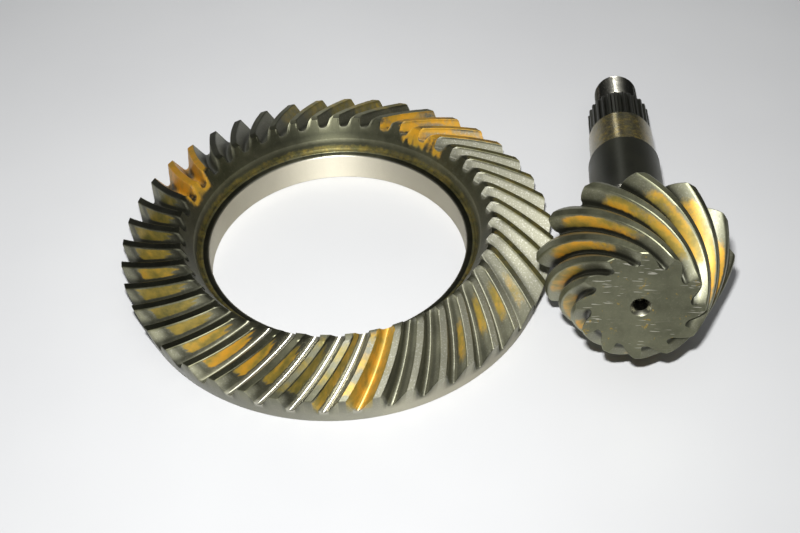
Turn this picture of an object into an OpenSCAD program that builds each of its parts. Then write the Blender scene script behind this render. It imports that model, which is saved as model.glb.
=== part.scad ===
// Bevel gear pair: a ring gear that lies on its back face, and its shaft pinion, lying on its side.
// Millimetres, +Z up. The origin is on the ring gear's axis, in its back face.

/* [Ring gear] */
// Number of teeth on the ring gear
ring_teeth = 43; // [38:1:46]
// Diameter of the pilot bore
ring_bore_d = 125; // [110:1:130]
// Length of the pilot bore, from the back face up
ring_bore_h = 14.8; // [10:0.2:16]
// Diameter of the back face
ring_base_d = 200; // [190:1:202]
// Diameter over the tooth tips at the heel, the outer end
ring_heel_d = 208.6; // [204:0.2:212]
// Height of the tooth tips at the heel
ring_heel_z = 18.7; // [17:0.1:22]
// Diameter over the tooth tips at the toe, the inner end
ring_toe_d = 149.8; // [146:0.2:154]
// Height of the face cone at the toe
ring_toe_z = 30.9; // [29:0.1:34]
// Width of the bevel on the toe end of a tooth
ring_toe_bevel = 3.2; // [1:0.1:4]

/* [Ring gear teeth] */
// Tooth depth at the heel
ring_heel_depth = 9.8; // [7:0.1:10.5]
// Tooth depth at the toe
ring_toe_depth = 5.6; // [4:0.1:7]
// Width of the flat top of a tooth, measured round the ring
ring_land = 3.8; // [3:0.1:5.5]
// Width of the gap's flat bottom before it is rounded
ring_gap_floor = 2.5; // [1.5:0.1:3.5]
// Spiral angle half way along the face
ring_spiral = 31; // [20:1:38]
// Radius of the cutter that sweeps the tooth's curve
ring_cutter_r = 125; // [100:1:160]
// Turn of the whole tooth ring about its axis
ring_phase = 7; // [0:0.1:8]

/* [Ring gear bolts] */
// Number of tapped holes in the back face
bolt_count = 10; // [6:1:12]
// Diameter of the circle through the bolt holes
bolt_circle_d = 160; // [150:1:164]
// Tapping diameter of a bolt hole
bolt_hole_d = 10.8; // [8:0.1:11]
// Depth of a bolt hole
bolt_hole_depth = 14; // [10:0.5:15]

/* [Pinion head] */
// Number of teeth on the pinion
pinion_teeth = 12; // [10:1:14]
// Diameter over the tooth tips at the toe, the front face
pinion_toe_d = 55.2; // [52:0.2:58]
// Diameter over the tooth tips at the heel
pinion_heel_d = 88.4; // [84:0.2:92]
// Length of the toothed face along the shaft
pinion_face = 38.5; // [34:0.5:41]
// Tooth depth at the heel
pinion_heel_depth = 9.8; // [7:0.1:11]
// Tooth depth at the toe
pinion_toe_depth = 6; // [4:0.1:7]
// Width of the flat top of a tooth, across the tooth
pinion_land = 2.8; // [2:0.1:3.5]
// Width of the gap's flat bottom before it is rounded, across the gap
pinion_gap_floor = 2; // [1.5:0.1:3]
// Spiral angle of the teeth
pinion_spiral = 53; // [45:1:55]
// Turn of the pinion about its own axis
pinion_phase = 1; // [0:0.5:30]

/* [Pinion shaft] */
// Diameter of the head bearing's seat
head_seat_d = 40; // [38:0.5:42]
// Distance from the front face to the head bearing's shoulder
head_shoulder_s = 48; // [47:0.5:52]
// Distance from the front face to the end of the head bearing's seat
head_seat_end = 72; // [66:0.5:78]
// Depth of the grinding relief between a bearing seat and its shoulder
relief_depth = 0.3; // [0.1:0.1:0.5]
// Width of the grinding relief, along the shaft
relief_width = 2.2; // [1.4:0.1:3]
// Diameter of the plain middle of the shaft
middle_d = 35; // [33:0.2:36]
// Distance from the front face to the end of the plain middle
middle_end = 120; // [110:0.5:125]
// Diameter of the tail bearing's seat
tail_seat_d = 32.2; // [31.6:0.1:33]
// Distance from the front face to the end of the tail bearing's seat
tail_seat_end = 148; // [140:0.5:152]
// Number of spline teeth
spline_teeth = 27; // [20:1:32]
// Diameter over the spline teeth
spline_d = 31.2; // [30:0.1:31.6]
// Depth of the spline teeth
spline_depth = 1.2; // [0.8:0.1:1.6]
// Distance from the front face to the end of the spline
spline_end = 172.5; // [160:0.5:176]
// Diameter of the threaded end
thread_d = 22; // [18:0.5:24]
// Distance from the front face to the tip of the threaded end
pinion_length = 200.5; // [190:0.5:205]
// Diameter of the centre holes
centre_hole_d = 6.4; // [4:0.2:8]

/* [Layout] */
// Position of the pinion's front face centre, to the right of the ring gear's axis
pinion_x = 126.1; // [124:0.1:140]
// Position of the pinion's front face centre along Y, negative in front of the ring gear's axis
pinion_y = -94.2; // [-100:0.1:-80]
// Turn of the lying pinion seen from above
pinion_turn = -8.8; // [-12:0.2:-6]
// Gap left under the pinion's tooth tips
rest_gap = 0.2; // [0:0.1:1]

/* [Hidden] */
$fn = 96;

ring_heel_r = ring_heel_d / 2;
ring_toe_r = ring_toe_d / 2;
ring_slope = atan2(ring_toe_z - ring_heel_z, ring_heel_r - ring_toe_r);
ring_mean_a = (ring_heel_r + ring_toe_r) / 2 / cos(ring_slope);
cutter_offset = sqrt(pow(ring_mean_a, 2) + pow(ring_cutter_r, 2)
                     - 2 * ring_mean_a * ring_cutter_r * sin(ring_spiral));
pinion_heel_r = pinion_heel_d / 2;
pinion_toe_r = pinion_toe_d / 2;
pinion_slope = atan2(pinion_heel_r - pinion_toe_r, pinion_face);
// The pinion rests on its heel tooth tips and on the start of the chamfer at its threaded tip.
tip_chamfer = 1.5;
pinion_tilt = atan2(pinion_heel_r - thread_d / 2, pinion_length - tip_chamfer - pinion_face);
pinion_z = pinion_heel_r * cos(pinion_tilt) + pinion_face * sin(pinion_tilt) + rest_gap;

// Value between a and b
function mix(a, b, t) = a + (b - a) * t;

// Point from a radius, an angle and a height
function polar(r, a, z) = [r * cos(a), r * sin(a), z];

// Angle round the ring of the tooth's curve, at a distance a from the cone's tip
function swept(a) = acos((pow(a, 2) + pow(cutter_offset, 2) - pow(ring_cutter_r, 2)) / (2 * a * cutter_offset));

// Angle that a ring tooth has turned between the heel and radius r
function ring_lag(r) = (swept(r / cos(ring_slope)) - swept(ring_heel_r / cos(ring_slope))) / cos(ring_slope);

// Angle that a pinion tooth has turned between radius r and the heel
function pinion_lag(r) = tan(pinion_spiral) / sin(pinion_slope) * ln(pinion_heel_r / r) * 180 / PI;

// Rungs of a ring gap at station t: depth below the tooth tips and half width round the ring
function ring_rungs(t) =
    let (depth = mix(ring_heel_depth, ring_toe_depth, t),
         top = (2 * PI * mix(ring_heel_r, ring_toe_r, t) / ring_teeth - ring_land) / 2,
         low = ring_gap_floor / 2,
         side = (top - low) / depth)
    [[-1.5, top + 1.5 * side],
     [depth * 0.87, low + depth * 0.13 * side],
     [depth * 0.965, low * 0.98],
     [depth, low * 0.76]];

// Rungs of a pinion gap at station t: depth below the tooth tips and half width across the gap
function pinion_rungs(t) =
    let (depth = mix(pinion_toe_depth, pinion_heel_depth, t),
         pitch = 2 * PI * mix(pinion_toe_r, pinion_heel_r, t) / pinion_teeth * cos(pinion_spiral),
         top = (pitch - pinion_land) / 2,
         low = pinion_gap_floor / 2)
    [[-2.2, top + 2.2 * 0.46 * (top - low) / 0.3 / depth],
     [depth * 0.3, mix(top, low, 0.46)],
     [depth * 0.6, mix(top, low, 0.78)],
     [depth * 0.85, low * 1.05],
     [depth, low * 0.4]];

// A solid swept through the stations, each a list of [left point, right point] rungs
module ladder(stations) {
    n = len(stations);
    m = len(stations[0]);
    points = [for (s = stations) for (rung = s) for (p = rung) p];
    function left(i, k) = (i * m + k) * 2;
    function right(i, k) = (i * m + k) * 2 + 1;
    walls = [for (i = [0 : n - 2]) for (k = [0 : m - 2])
        each [[left(i, k), left(i + 1, k + 1), left(i + 1, k)],
              [left(i, k), left(i, k + 1), left(i + 1, k + 1)],
              [right(i, k), right(i + 1, k), right(i + 1, k + 1)],
              [right(i, k), right(i + 1, k + 1), right(i, k + 1)]]];
    top_and_floor = [for (i = [0 : n - 2])
        each [[left(i, 0), left(i + 1, 0), right(i + 1, 0)],
              [left(i, 0), right(i + 1, 0), right(i, 0)],
              [left(i, m - 1), right(i + 1, m - 1), left(i + 1, m - 1)],
              [left(i, m - 1), right(i, m - 1), right(i + 1, m - 1)]]];
    ends = [for (k = [0 : m - 2])
        each [[left(0, k), right(0, k + 1), left(0, k + 1)],
              [left(0, k), right(0, k), right(0, k + 1)],
              [left(n - 1, k), left(n - 1, k + 1), right(n - 1, k + 1)],
              [left(n - 1, k), right(n - 1, k + 1), right(n - 1, k)]]];
    polyhedron(points, concat(walls, top_and_floor, ends));
}

// Cutter for the gap that follows tooth 0 of the ring gear
module ring_gap() {
    steps = 9;
    stations = [for (i = [0 : steps])
        let (t = mix(-0.12, 1.1, i / steps),
             r = mix(ring_heel_r, ring_toe_r, t),
             z = mix(ring_heel_z, ring_toe_z, t),
             middle = ring_lag(r) + 180 / ring_teeth + ring_land / r * 90 / PI)
        [for (rung = ring_rungs(t))
            let (rr = r - rung[0] * sin(ring_slope),
                 zz = z - rung[0] * cos(ring_slope),
                 half = rung[1] / r * 180 / PI)
            [polar(rr, middle - half, zz), polar(rr, middle + half, zz)]]];
    ladder(stations);
}

// Cutter for the gap that follows tooth 0 of the pinion
module pinion_gap() {
    steps = 16;
    stations = [for (i = [0 : steps])
        let (t = mix(-0.08, 1.12, i / steps),
             r = mix(pinion_toe_r, pinion_heel_r, t),
             s = pinion_face * t,
             middle = 180 / pinion_teeth - pinion_lag(r))
        [for (rung = pinion_rungs(t))
            let (rr = r - rung[0] * cos(pinion_slope),
                 ss = s + rung[0] * sin(pinion_slope),
                 half = rung[1] / cos(pinion_spiral) / r * 180 / PI)
            [polar(rr, middle + half, -ss), polar(rr, middle - half, -ss)]]];
    ladder(stations);
}

// Body of the ring gear before the teeth are cut
module ring_blank() {
    bore_r = ring_bore_d / 2;
    base_r = ring_base_d / 2;
    bevel_z = ring_toe_z - ring_toe_bevel * tan(ring_slope);
    rotate_extrude($fn = 180)
        polygon([[bore_r, 0], [bore_r, ring_bore_h - 0.6], [bore_r + 0.6, ring_bore_h],
                 [bore_r + 4.6, ring_bore_h + 0.4], [bore_r + 5.6, ring_bore_h + 1.8], [bore_r + 7, ring_bore_h + 5.9],
                 [ring_toe_r, bevel_z + 0.3], [ring_toe_r + ring_toe_bevel, bevel_z],
                 [ring_heel_r, ring_heel_z],
                 [base_r + 0.2, 1], [base_r - 0.8, 0]]);
}

// Blind tapping holes with a drill point
module bolt_holes() {
    for (i = [0 : bolt_count - 1])
        rotate([0, 0, (i + 0.5) * 360 / bolt_count])
            translate([bolt_circle_d / 2, 0, 0]) {
                translate([0, 0, -1])
                    cylinder(d = bolt_hole_d, h = bolt_hole_depth + 1);
                translate([0, 0, bolt_hole_depth])
                    cylinder(d1 = bolt_hole_d, d2 = 0, h = bolt_hole_d * 0.3);
            }
}

module ring_gear() {
    color("dimgray")
        difference() {
            ring_blank();
            for (i = [0 : ring_teeth - 1])
                rotate([0, 0, ring_phase + i * 360 / ring_teeth])
                    ring_gap();
            bolt_holes();
        }
}

// Head and shaft of the pinion before the teeth are cut, front face up at z = 0
module pinion_blank() {
    seat_r = head_seat_d / 2;
    collar_r = seat_r + 5;
    middle_r = middle_d / 2;
    tail_r = tail_seat_d / 2;
    spline_r = spline_d / 2;
    thread_r = thread_d / 2;
    back_s = pinion_face + (pinion_heel_r - collar_r) * tan(pinion_slope);
    rotate_extrude()
        polygon([[0, 0], [pinion_toe_r, 0], [pinion_heel_r, -pinion_face], [collar_r, -back_s],
                 [collar_r, -head_shoulder_s], [seat_r - relief_depth, -head_shoulder_s],
                 [seat_r - relief_depth, 0.6 - head_shoulder_s - relief_width],
                 [seat_r, -head_shoulder_s - relief_width],
                 [seat_r, 1 - head_seat_end], [seat_r - 1, -head_seat_end], [middle_r, -head_seat_end],
                 [middle_r, 0.6 - middle_end], [middle_r - 0.6, -middle_end],
                 [tail_r - relief_depth, -middle_end], [tail_r - relief_depth, 0.6 - middle_end - relief_width],
                 [tail_r, -middle_end - relief_width],
                 [tail_r, -tail_seat_end], [spline_r, -tail_seat_end - 0.3],
                 [spline_r, 1.2 - spline_end], [spline_r - 1.2, -spline_end], [thread_r, -spline_end],
                 [thread_r, tip_chamfer - pinion_length], [thread_r - tip_chamfer, -pinion_length],
                 [0, -pinion_length]]);
}

// Grooves between the spline teeth
module spline_grooves() {
    tip_r = spline_d / 2 + 0.5;
    root_r = spline_d / 2 - spline_depth;
    pitch = PI * spline_d / spline_teeth;
    for (i = [0 : spline_teeth - 1])
        rotate([0, 0, i * 360 / spline_teeth])
            translate([0, 0, -spline_end - 1])
                linear_extrude(spline_end - tail_seat_end)
                    polygon([[root_r, -pitch * 0.16], [tip_r, -pitch * 0.36], [tip_r, pitch * 0.36],
                             [root_r, pitch * 0.16]]);
}

// Lathe centre hole with its countersink
module centre_hole() {
    translate([0, 0, -9])
        cylinder(d = centre_hole_d, h = 10);
    translate([0, 0, -2.2])
        cylinder(d1 = centre_hole_d, d2 = centre_hole_d + 3.6, h = 3.2);
}

module pinion_body() {
    difference() {
        pinion_blank();
        spline_grooves();
        for (i = [0 : pinion_teeth - 1])
            rotate([0, 0, pinion_phase + i * 360 / pinion_teeth])
                pinion_gap();
        centre_hole();
        translate([0, 0, -pinion_length])
            mirror([0, 0, 1])
                centre_hole();
    }
}

module pinion() {
    color("gray")
        translate([pinion_x, pinion_y, pinion_z])
            rotate([90 - pinion_tilt, 0, pinion_turn])
                pinion_body();
}

ring_gear();
pinion();
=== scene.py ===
"""Looks of the bevel gear pair: a spiral ring gear on its back face, and its shaft pinion beside it."""

import math
from collections import namedtuple

import bpy
import bmesh
import numpy as np
from mathutils import Matrix, Vector
from mathutils.geometry import delaunay_2d_cdt

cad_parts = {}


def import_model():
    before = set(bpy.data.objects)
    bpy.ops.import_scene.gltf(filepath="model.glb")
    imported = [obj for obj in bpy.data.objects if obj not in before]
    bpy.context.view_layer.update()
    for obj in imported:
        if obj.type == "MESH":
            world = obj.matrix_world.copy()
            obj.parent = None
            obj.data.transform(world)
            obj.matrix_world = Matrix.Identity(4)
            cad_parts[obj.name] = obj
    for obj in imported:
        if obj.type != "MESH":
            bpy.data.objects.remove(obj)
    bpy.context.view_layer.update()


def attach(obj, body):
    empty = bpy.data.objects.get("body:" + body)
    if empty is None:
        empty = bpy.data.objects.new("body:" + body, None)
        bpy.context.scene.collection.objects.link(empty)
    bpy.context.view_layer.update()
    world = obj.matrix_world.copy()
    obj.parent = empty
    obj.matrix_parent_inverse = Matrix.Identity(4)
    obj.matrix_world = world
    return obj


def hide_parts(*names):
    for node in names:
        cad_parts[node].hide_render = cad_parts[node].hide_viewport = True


MM = 0.001
FULL_TURN = 2 * math.pi
# Points closer together than this, in metres, are one point.
WELD = 1e-7

# The driving sizes of the two gears, in millimetres, as in the solids. Only RING_FLOOR is 0.2 mm wider here,
# because the corners of the floor are rounded. The ring's heel and toe are given as (radius, height), and
# the pinion's place as (x, y).
RING_TEETH = 43
RING_HEEL = (104.3, 18.7)
RING_TOE = (74.9, 30.9)
RING_BEVEL = 3.2
RING_DEPTH_HEEL_TOE = (9.8, 5.6)
RING_LAND = 3.8
RING_FLOOR = 2.7
RING_SPIRAL = math.radians(31)
RING_CUTTER = 125.0
RING_PHASE = 7.0
RING_BORE_R = 62.5
BOLT_COUNT = 10
BOLT_CIRCLE_R = 80.0
BOLT_HOLE_R = 5.4
BOLT_DEPTH = 14.0

PINION_TEETH = 12
PINION_TOE_R = 27.6
PINION_HEEL_R = 44.2
PINION_FACE = 38.5
PINION_DEPTH_TOE_HEEL = (6.0, 9.8)
PINION_LAND = 2.8
PINION_FLOOR = 2.0
PINION_SPIRAL = math.radians(53)
PINION_PHASE = 1.0
PINION_LENGTH = 200.5
PINION_AT = (126.1, -94.2)
PINION_TURN = math.radians(-8.8)
REST_GAP = 0.2

# The pinion's shaft. A distance is counted from the front face.
COLLAR_R = 25.0
HEAD_SHOULDER = 48.0
HEAD_SEAT_R = 20.0
HEAD_SEAT_END = 72.0
MIDDLE_R = 17.5
MIDDLE_END = 120.0
TAIL_SEAT_R = 16.1
TAIL_SEAT_END = 148.0
RELIEF_DEPTH = 0.3
RELIEF_WIDTH = 2.2
SPLINE_TEETH = 27
SPLINE_R = 15.6
SPLINE_DEPTH = 1.2
SPLINE_END = 172.5
THREAD_R = 11.0
THREAD_PITCH = 1.5
TIP_CHAMFER = 1.5
CENTRE_R = 3.2


def mix(a, b, t):
    return a + (b - a) * t


def smooth(lo, hi, x):
    """0 below lo, 1 above hi, and an S-shaped rise between."""
    t = np.clip((np.asarray(x, float) - lo) / (hi - lo), 0, 1)
    return t * t * (3 - 2 * t)


def between(x, rise, fall):
    """1 from the end of the range rise to the start of the range fall, and 0 outside both."""
    return smooth(*rise, x) * (1 - smooth(*fall, x))


def bump(x, middle, width, power=2):
    """1 at the middle and close to 0 two widths away. A higher power makes it flatter on top."""
    return np.exp(-(((x - middle) / width) ** power))


def direction(angle):
    """An angle in degrees, from 0 to 360.

    Round the ring 0 is right, 90 the back, 180 left and 270 the front. Round the pinion 90 is the top.
    """
    return np.degrees(angle) % 360


def apart(deg, middle):
    """How far a direction is from another one, in degrees, either way round."""
    return np.abs((deg - middle + 180) % 360 - 180)


def polar(r, angle, z):
    """Points from radii, angles in radians and heights, in metres from millimetres."""
    r, angle, z = np.broadcast_arrays(r, angle, z)
    return np.stack([r * np.cos(angle), r * np.sin(angle), z], -1) * MM


# ---------------------------------------------------------------- mesh collecting

# What each point tells its material, mostly from 0 to 1, in this order: marking compound, how orange it
# is, dark oil together with painted shade, a ground face (on the ring also a painted highlight on the
# floor of each gap at the front), a milled face (on the ring also painted light), a rubbed and scratched
# face, a finely turned face (on the ring's outside at the front right also painted light), and a distance
# in millimetres across the turned lines.
POINT_VALUES = ("paint", "tint", "soot", "ground", "cut", "scuff", "hone", "along")


class Skin:
    """Points, faces and point values of one closed mesh."""

    def __init__(self):
        self.points = []
        self.values = {name: [] for name in POINT_VALUES}
        self.faces = []
        self.caps = []
        self.count = 0

    def add(self, xyz, **values):
        """Adds an array of points of any shape and returns their numbers in that shape."""
        xyz = np.asarray(xyz, float)
        shape = xyz.shape[:-1]
        ids = np.arange(self.count, self.count + int(np.prod(shape))).reshape(shape)
        self.points.append(xyz.reshape(-1, 3))
        for name, kept in self.values.items():
            value = np.broadcast_to(np.asarray(values.get(name, 0.0), float), shape)
            kept.append(value.reshape(-1))
        self.count += ids.size
        return ids

    def grid(self, ids):
        """Quads over a table of points whose rows close on themselves."""
        after = np.roll(ids, -1, axis=0)
        quads = np.stack([ids[:, :-1], after[:, :-1], after[:, 1:], ids[:, 1:]], -1).reshape(-1, 4)
        self.faces.extend(quads.tolist())

    def close(self, ring, tip, **values):
        """Closes a ring of points with triangles that meet at one more point."""
        tip = self.add(tip[None], **values)[0]
        self.faces.extend([[int(a), int(b), int(tip)] for a, b in zip(ring, np.roll(ring, -1))])

    def flat(self, outline, holes):
        """Triangles over a level area, inside an outline and outside holes."""
        loops = [list(outline), *(list(hole) for hole in holes)]
        ids = [i for loop in loops for i in loop]
        level = np.concatenate(self.points)[ids, :2]
        edges = []
        rings = []
        start = 0
        for loop in loops:
            size = len(loop)
            edges += [(start + i, start + (i + 1) % size) for i in range(size)]
            rings.append(level[start : start + size])
            start += size
        verts = [Vector((float(x), float(y))) for x, y in level]
        triangles, origins = delaunay_2d_cdt(verts, edges, [], 0, WELD)[2:4]
        for triangle in triangles:
            names = [origins[v] for v in triangle]
            if not all(names):
                continue
            own = [n[0] for n in names]
            centre = level[own].mean(0)
            if inside(centre, rings[0]) and not any(inside(centre, ring) for ring in rings[1:]):
                self.caps.append(len(self.faces))
                self.faces.append([ids[i] for i in own])

    def build(self, name, sharp_deg):
        """The mesh as an object, with its point values, and sharp where faces meet at more than an angle."""
        mesh = bpy.data.meshes.new(name)
        mesh.from_pydata(np.concatenate(self.points).tolist(), [], self.faces)
        for value_name, kept in self.values.items():
            layer = mesh.attributes.new(value_name, "FLOAT", "POINT")
            layer.data.foreach_set("value", np.concatenate(kept).astype(np.float32))
        marks = np.zeros(len(self.faces), np.int32)
        marks[self.caps] = 1
        mesh.attributes.new("cap", "INT", "FACE").data.foreach_set("value", marks)
        obj = bpy.data.objects.new(name, mesh)
        bpy.context.scene.collection.objects.link(obj)
        weld_and_shade(mesh, math.radians(sharp_deg))
        return obj


def weld_and_shade(mesh, sharp):
    """Joins points that coincide and shades smoothly, except over sharp edges and round flat caps."""
    work = bmesh.new()
    work.from_mesh(mesh)
    cap = work.faces.layers.int["cap"]
    bmesh.ops.remove_doubles(work, verts=work.verts, dist=WELD)
    bmesh.ops.dissolve_degenerate(work, edges=work.edges, dist=WELD / 10)
    bmesh.ops.recalc_face_normals(work, faces=work.faces)
    for face in work.faces:
        face.smooth = True
    for edge in work.edges:
        if len(edge.link_faces) == 2:
            a, b = edge.link_faces
            edge.smooth = edge.calc_face_angle(0.0) < sharp and a[cap] == b[cap]
    work.to_mesh(mesh)
    work.free()


def inside(point, ring):
    """Whether a point is inside a closed ring of points."""
    x, y = point
    x0, y0 = ring[:, 0], ring[:, 1]
    x1, y1 = np.roll(x0, -1), np.roll(y0, -1)
    crosses = (y0 > y) != (y1 > y)
    with np.errstate(divide="ignore", invalid="ignore"):
        at = x0 + (y - y0) / (y1 - y0) * (x1 - x0)
    return bool(np.count_nonzero(crosses & (x < at)) % 2)


class Film:
    """What lies on the steel at each point: marking compound, how orange it is, and dark oil together with
    painted shade.
    """

    def __init__(self, shape):
        self.paint = np.zeros(shape)
        self.tint = np.full(shape, 0.25)
        self.soot = np.zeros(shape)

    def cover(self, amount):
        self.paint = np.maximum(self.paint, amount)

    def colour(self, where, tint):
        self.tint = np.where(where, tint, self.tint)

    def darken(self, amount):
        self.soot = np.maximum(self.soot, amount)

    def lift_dark(self, amount):
        self.soot = self.soot * (1 - amount)

    def values(self):
        """The film as point values."""
        return {name: np.clip(getattr(self, name), 0, 1) for name in ("paint", "tint", "soot")}


# ---------------------------------------------------------------- teeth in general

# A rung is a line along a tooth from end to end, given as (kind, value, side). The value is a distance from
# the land's low edge for kind land, a distance below the tip for depth, a share of the gap's depth for flank,
# and a share of the rounded corner for fillet. The low side of a gap is the one met first as the angle rises,
# so its flank faces that way.
LOW_SIDE = -1
HIGH_SIDE = 1
# Besides the two sides, a rung's place is the land or the floor.
LAND = 0
FLOOR = 2

# The toothed surface of a gear, one array for each measure, with a row for each rung and a column for each
# station along the tooth. The level is the height in the ring, and the distance from the front in the pinion.
Teeth = namedtuple("Teeth", "radius level angle share station place tooth")


def place_of(kind, value, side):
    """Where a rung lies: on the land, in the floor or on one of the sides."""
    if kind == "land":
        return LAND
    if kind == "fillet" and value > 0.55:
        return FLOOR
    return side


def fillet_point(s, from_share, width, low, flat):
    """Point of the rounded corner of a floor: share of the depth, and half width."""
    share = (1 - s) ** 2 * from_share + 2 * s * (1 - s) + s**2
    w = (1 - s) ** 2 * width + 2 * s * (1 - s) * low + s**2 * flat
    return share, w


def nominal_depth(kind, value, fillet_from):
    """Depth of a rung: a share of the gap's depth, and a distance in millimetres on top of it."""
    if kind == "depth":
        return 0.0, value
    if kind == "flank":
        return value, 0.0
    if kind == "fillet":
        return fillet_point(value, fillet_from, 1.0, 1.0, 0.0)[0], 0.0
    return 0.0, 0.0


def all_round(rungs, make_rung, stations, count, phase):
    """The toothed surface of a gear, from the rungs of one tooth and the gap after it."""
    parts = [make_rung(*rung, stations) for rung in rungs]
    radius, level, angle, share, station = (np.array(measure) for measure in zip(*parts))
    place = np.array([place_of(*rung) for rung in rungs])[:, None]
    tooth = np.arange(count)[:, None, None]
    turned = angle + math.radians(phase) + tooth * FULL_TURN / count
    full = (count, *radius.shape)
    grids = [np.broadcast_to(a, full) for a in (radius, level, turned, share, station, place, tooth)]
    return Teeth(*(g.reshape(-1, radius.shape[1]) for g in grids))


# ---------------------------------------------------------------- shape of the ring's teeth

RING_SLOPE = math.atan2(RING_TOE[1] - RING_HEEL[1], RING_HEEL[0] - RING_TOE[0])
RING_MEAN = (RING_HEEL[0] + RING_TOE[0]) / 2 / math.cos(RING_SLOPE)
CUTTER_AT = math.sqrt(RING_MEAN**2 + RING_CUTTER**2 - 2 * RING_MEAN * RING_CUTTER * math.sin(RING_SPIRAL))

# The outline that cuts the teeth off: outer cone at the heel, bevel and inner cone at the toe.
HEEL_FOOT = (100.2, 1.0)
TOE_BEVEL = (RING_TOE[0] + RING_BEVEL, RING_TOE[1] - RING_BEVEL * math.tan(RING_SLOPE))
TOE_CORNER = (RING_TOE[0], TOE_BEVEL[1] + 0.3)
CONE_FOOT = (69.5, 20.7)

# Size of the rounded edges, and by how much each side of a tooth draws in at the heel and at the toe.
RING_EDGE = 0.28
HEEL_DRAWN_IN = 0.16
TOE_DRAWN_IN = 0.5
# Share of the depth at which the flank runs into the floor's rounded corner.
RING_FILLET_FROM = 0.8
# Shares of the way from heel to toe, closer together near the ends.
RING_STATIONS = np.array([0, 0.012, 0.045, *np.linspace(0.08, 0.9, 20), 0.93, 0.95, 0.968, 0.984, 1.0])


def ring_swept(a):
    """Angle at which the cutter's arc crosses a distance from the apex, along the face cone."""
    return np.arccos((a**2 + CUTTER_AT**2 - RING_CUTTER**2) / (2 * a * CUTTER_AT))


def ring_lag(r):
    """Angle in radians that a tooth has turned between the heel and radius r."""
    heel = ring_swept(RING_HEEL[0] / math.cos(RING_SLOPE))
    return (ring_swept(r / math.cos(RING_SLOPE)) - heel) / math.cos(RING_SLOPE)


def ring_width(g, t):
    """Half width of a ring gap at a share g of its depth, at station t."""
    r = mix(RING_HEEL[0], RING_TOE[0], t)
    top = (FULL_TURN * r / RING_TEETH - RING_LAND) / 2
    low = RING_FLOOR / 2
    return top - (top - low) * g


def crossing(a, b, share, extra):
    """Station at which the rung at this depth meets the line from a to b in the (r, z) plane."""
    n = (b[1] - a[1], -(b[0] - a[0]))

    def off(t):
        d = share * mix(*RING_DEPTH_HEEL_TOE, t) + extra
        r = mix(RING_HEEL[0], RING_TOE[0], t) - d * math.sin(RING_SLOPE)
        z = mix(RING_HEEL[1], RING_TOE[1], t) - d * math.cos(RING_SLOPE)
        return n[0] * (r - a[0]) + n[1] * (z - a[1])

    zero, one = off(0.0), off(1.0)
    return -zero / (one - zero)


def ring_rung(kind, value, side, station):
    """Radius, height, angle, depth share and station of one rung of the ring, along its stations."""
    share, extra = nominal_depth(kind, value, RING_FILLET_FROM)
    t_edge = crossing(RING_HEEL, HEEL_FOOT, share, extra + RING_EDGE)
    t_out = crossing(RING_HEEL, HEEL_FOOT, share, extra)
    t_in = min(crossing(TOE_BEVEL, TOE_CORNER, share, extra), crossing(TOE_CORNER, CONE_FOOT, share, extra))
    t = np.where(station == 0, t_edge, mix(t_out, t_in, station))
    full_depth = mix(*RING_DEPTH_HEEL_TOE, t)
    depth = share * full_depth + extra
    depth[0] += RING_EDGE
    tip_r = mix(RING_HEEL[0], RING_TOE[0], t)
    r = tip_r - depth * math.sin(RING_SLOPE)
    z = mix(RING_HEEL[1], RING_TOE[1], t) - depth * math.cos(RING_SLOPE)
    at_heel = HEEL_DRAWN_IN * (station == 0)
    at_toe = TOE_DRAWN_IN * smooth(0.93, 1.0, station) ** 2
    if kind == "land":
        across = value + (at_heel + at_toe) * (1 - 2 * value / RING_LAND)
        return r, z, ring_lag(tip_r) + across / tip_r, depth / full_depth, t
    if kind == "fillet":
        corner = ring_width(RING_FILLET_FROM, t)
        w = fillet_point(value, RING_FILLET_FROM, corner, RING_FLOOR / 2, 0.35)[1]
    else:
        w = ring_width(extra / full_depth + share, t)
    w = w + at_heel * smooth(0, 2.0, w) + at_toe * smooth(0, 2.5, w)
    middle = ring_lag(tip_r) + math.pi / RING_TEETH + RING_LAND / tip_r / 2
    return r, z, middle + side * w / tip_r, depth / full_depth, t


def ring_rungs():
    """Every rung of one tooth and the gap after it, by rising angle."""
    rungs = [("land", v, 0) for v in (RING_EDGE, RING_LAND * 0.34, RING_LAND * 0.66, RING_LAND - RING_EDGE)]
    down = [("depth", RING_EDGE), ("depth", 1.18)]
    down += [("flank", g) for g in (0.26, 0.36, 0.46, 0.56, 0.68, RING_FILLET_FROM)]
    down += [("fillet", s) for s in (0.2, 0.4, 0.6, 0.8, 1.0)]
    rungs += [(kind, value, LOW_SIDE) for kind, value in down]
    rungs += [("fillet", 1.0, 0)]
    rungs += [(kind, value, HIGH_SIDE) for kind, value in reversed(down)]
    return rungs


# ---------------------------------------------------------------- film on the ring's teeth


def gap_degrees(teeth):
    """Direction of the gap after each tooth, at the heel."""
    return (RING_PHASE + teeth.tooth * 360 / RING_TEETH + 5.2) % 360


def tooth_degrees(teeth):
    """Direction of each tooth, at the heel."""
    return (RING_PHASE + teeth.tooth * 360 / RING_TEETH + 1.0) % 360


def painted_gap(teeth):
    """1 in the gap at the front that is painted right through."""
    return bump(gap_degrees(teeth), 272, 3.2, 4)


def messy_teeth(teeth):
    """1 on the teeth at the back right that are smeared with thick compound."""
    return between(tooth_degrees(teeth), (28, 34), (50, 55))


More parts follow.
